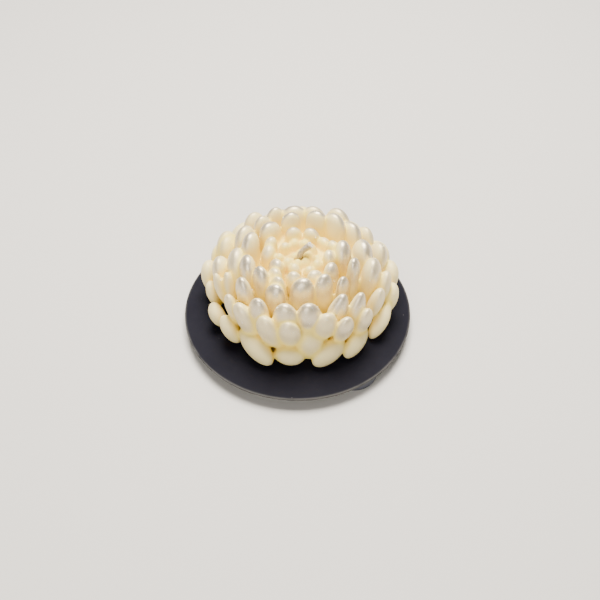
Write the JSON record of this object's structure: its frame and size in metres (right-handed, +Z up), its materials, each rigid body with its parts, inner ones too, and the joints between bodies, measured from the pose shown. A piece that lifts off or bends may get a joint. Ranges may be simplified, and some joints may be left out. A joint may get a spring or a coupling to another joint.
{
  "type": "chrysanthemum candle on a plate",
  "caption": "Wax candle cast as a chrysanthemum head of plump upright petals round a short wick, standing on a thin round black plate with low feet.",
  "frame": {"origin": "on the resting plane, straight under the middle of the plate: the bottom centre of the bounding box", "axes": "+Z up out of the flower, -Y towards a person looking at its front, +X to that person's right"},
  "size_m": [0.1, 0.1, 0.0451],
  "materials": {
    "wax": "ivory candle wax with a soft silvery pearl bloom on the petal tips, satin, slightly translucent",
    "wick": "braided cotton soaked in wax",
    "plate": "matte charcoal coating, worn a little paler on the rim",
    "feet": "soft blue-grey rubber"
  },
  "bodies": {
    "root": {"wax_flower": "wax", "wick": "wick", "plate": "plate", "plate_foot_1": "feet", "plate_foot_2": "feet", "plate_foot_3": "feet"}
  },
  "joints": []
}
